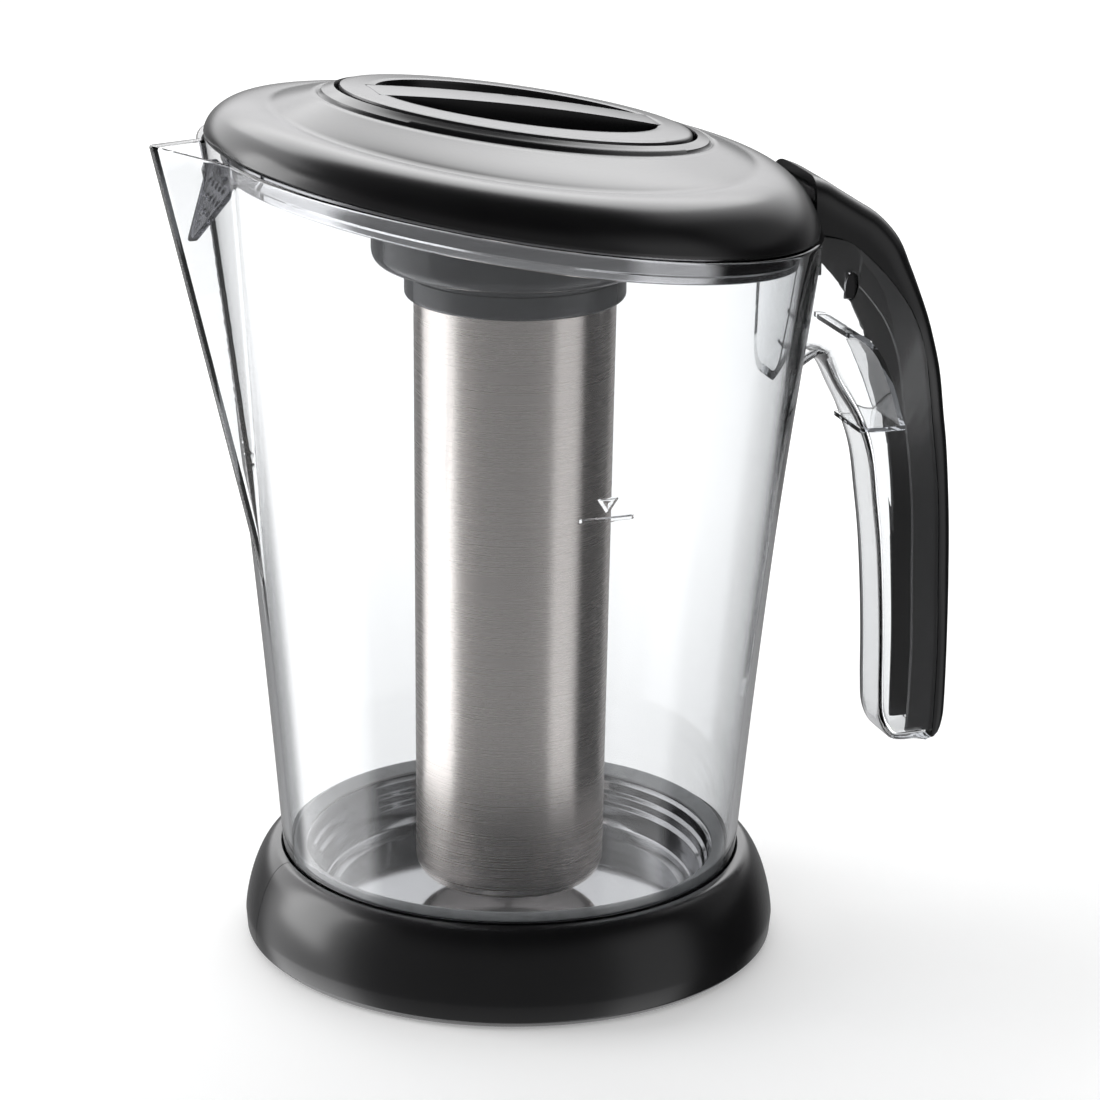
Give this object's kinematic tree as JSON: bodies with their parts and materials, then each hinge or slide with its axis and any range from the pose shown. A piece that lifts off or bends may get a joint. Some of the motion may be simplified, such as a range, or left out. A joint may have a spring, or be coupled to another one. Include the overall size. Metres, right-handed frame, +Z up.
{
  "type": "lidded jug",
  "caption": "Clear flared jug with a sharp spout, hook handle and black base ring, and a loose domed lid that carries a steel cooling tube closed by a plug.",
  "frame": {"origin": "centre of the flat underside of the base, on the table", "axes": "+Z up, -X towards the spout, +X towards the handle"},
  "size_m": [0.2796, 0.2036, 0.2959],
  "materials": {
    "clear": "clear moulded plastic, glossy",
    "black_satin": "satin black",
    "dark_gloss": "glossy dark grey",
    "mirror_steel": "polished",
    "brushed_steel": "brushed around the tube",
    "silicone": "matte grey",
    "smoke_clear": "clear grey tinted plastic",
    "screw_steel": "zinc plated"
  },
  "bodies": {
    "jug": {"jug_body": "clear", "handle_channel": "clear", "handle_cover": "black_satin", "floor_dish": "mirror_steel", "floor_seal": "silicone", "base_shell_near": "black_satin", "base_shell_far": "black_satin", "base_plate": "black_satin", "base_screw_1": "screw_steel", "base_screw_2": "screw_steel", "base_screw_3": "screw_steel", "base_screw_4": "screw_steel"},
    "lid": {"lid_shell": "black_satin", "lid_liner": "mirror_steel", "tube_socket": "dark_gloss", "spout_strainer": "smoke_clear", "lid_screw_1": "screw_steel", "lid_screw_2": "screw_steel", "lid_screw_3": "screw_steel", "lid_screw_4": "screw_steel"},
    "tube": {"tube_collar": "dark_gloss", "ice_tube": "brushed_steel", "tube_seal": "silicone"},
    "plug": {"plug_cap": "black_satin", "grip_bar": "black_satin", "plug_stopper": "dark_gloss", "plug_gasket": "silicone"}
  },
  "joints": [
    {"name": "lid_lift", "type": "slide", "parent": "jug", "child": "lid", "axis": [0, 0, 1], "range_m": [0, 0.27]},
    {"name": "plug_lift", "type": "slide", "parent": "lid", "child": "plug", "axis": [0, 0, 1], "range_m": [0, 0.07]},
    {"name": "tube_twist", "type": "hinge", "parent": "lid", "child": "tube", "pos_m": [0, 0, 0.242], "axis": [0, 0, 1], "range_deg": [0, 60]}
  ]
}
